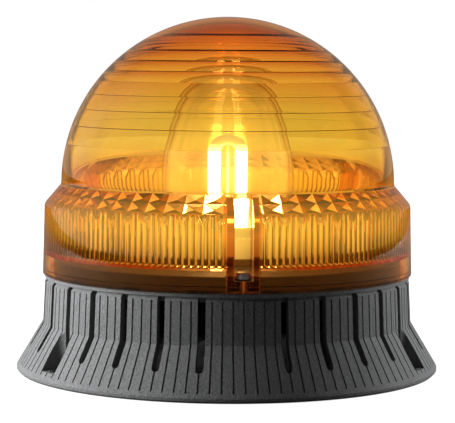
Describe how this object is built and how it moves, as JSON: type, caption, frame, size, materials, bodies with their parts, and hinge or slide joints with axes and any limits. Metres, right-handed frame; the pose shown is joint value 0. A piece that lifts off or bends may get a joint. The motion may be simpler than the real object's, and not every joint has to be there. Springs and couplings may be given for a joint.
{
  "type": "sounder beacon",
  "caption": "Round wall beacon with siren: fluted, slotted grey base flared to a flange, and a domed amber lens with inner rings and ribs over a flash tube.",
  "frame": {"origin": "centre of the mounting face, on the axis of the dome", "axes": "+Z away from the mounting face along the axis of the dome; -Y towards the front lens screw; +X to the right seen from the front"},
  "size_m": [0.17, 0.17, 0.1417],
  "materials": {
    "grey_plastic": "fine spark-eroded texture",
    "light_grey_plastic": "satin moulded",
    "black_plastic": "satin moulded black",
    "amber_plastic": "clear amber polycarbonate",
    "black_rubber": "soft black",
    "steel": "plated",
    "brass": "turned",
    "black_metal": "black coated steel",
    "ferrite": "sintered ferrite",
    "brown_film": "pressed film",
    "copper": "enamelled copper wire",
    "green_board": "solder mask",
    "green_plastic": "moulded",
    "white_plastic": "moulded",
    "red_plastic": "moulded",
    "blue_plastic": "moulded",
    "black_sleeve": "shrink sleeve",
    "tube_glass": "clear glass with gas fill",
    "clear_glass": "clear"
  },
  "bodies": {
    "base": {"base_housing": "grey_plastic", "rear_cover": "grey_plastic", "rear_cover_screws": "steel", "cable_grommets": "black_rubber", "lens_gasket": "black_rubber", "thread_inserts": "brass", "chassis": "black_plastic", "chassis_screws": "steel", "lamp_deck": "light_grey_plastic", "deck_screws": "steel", "driver_seal": "black_rubber", "driver_frame": "black_metal", "driver_top_plate": "steel", "driver_magnet": "ferrite", "driver_yoke": "steel", "driver_screws": "steel", "driver_pins": "brass", "circuit_board": "green_board", "board_screws": "steel", "lamp_contacts": "brass", "terminal_block": "green_plastic", "terminal_screws": "steel", "tone_switch": "red_plastic", "volume_trimmer": "blue_plastic", "storage_capacitor": "black_sleeve", "trigger_transformer": "copper", "tube_socket": "white_plastic", "reflector": "white_plastic", "flash_tube": "tube_glass", "tube_electrodes": "steel", "trigger_wire": "steel", "lamp_cover": "clear_glass"},
    "lens": {"lens_dome": "amber_plastic", "lens_screws": "steel", "screw_washers": "black_rubber"},
    "volume_rotor": {"volume_rotor": "white_plastic"},
    "diaphragm": {"diaphragm": "brown_film", "voice_coil": "copper"},
    "tone_slider_1": {"tone_slider_1": "white_plastic"},
    "tone_slider_2": {"tone_slider_2": "white_plastic"},
    "tone_slider_3": {"tone_slider_3": "white_plastic"},
    "tone_slider_4": {"tone_slider_4": "white_plastic"},
    "tone_slider_5": {"tone_slider_5": "white_plastic"}
  },
  "joints": [
    {"name": "lens_lift", "type": "slide", "parent": "base", "child": "lens", "axis": [0, 0, 1], "range_m": [0, 0.09]},
    {"name": "volume_turn", "type": "hinge", "parent": "base", "child": "volume_rotor", "pos_m": [-0.042, 0, 0.037], "axis": [0, 0, 1], "range_deg": [-135, 135]},
    {"name": "diaphragm_stroke", "type": "slide", "parent": "base", "child": "diaphragm", "axis": [0, 0, 1], "range_m": [-0.0005, 0.0005], "stiffness_N_per_m": 300},
    {"name": "tone_slide_1", "type": "slide", "parent": "base", "child": "tone_slider_1", "axis": [1, 0, 0], "range_m": [0, 0.0016]},
    {"name": "tone_slide_2", "type": "slide", "parent": "base", "child": "tone_slider_2", "axis": [1, 0, 0], "range_m": [0, 0.0016]},
    {"name": "tone_slide_3", "type": "slide", "parent": "base", "child": "tone_slider_3", "axis": [1, 0, 0], "range_m": [0, 0.0016]},
    {"name": "tone_slide_4", "type": "slide", "parent": "base", "child": "tone_slider_4", "axis": [1, 0, 0], "range_m": [0, 0.0016]},
    {"name": "tone_slide_5", "type": "slide", "parent": "base", "child": "tone_slider_5", "axis": [1, 0, 0], "range_m": [0, 0.0016]}
  ]
}
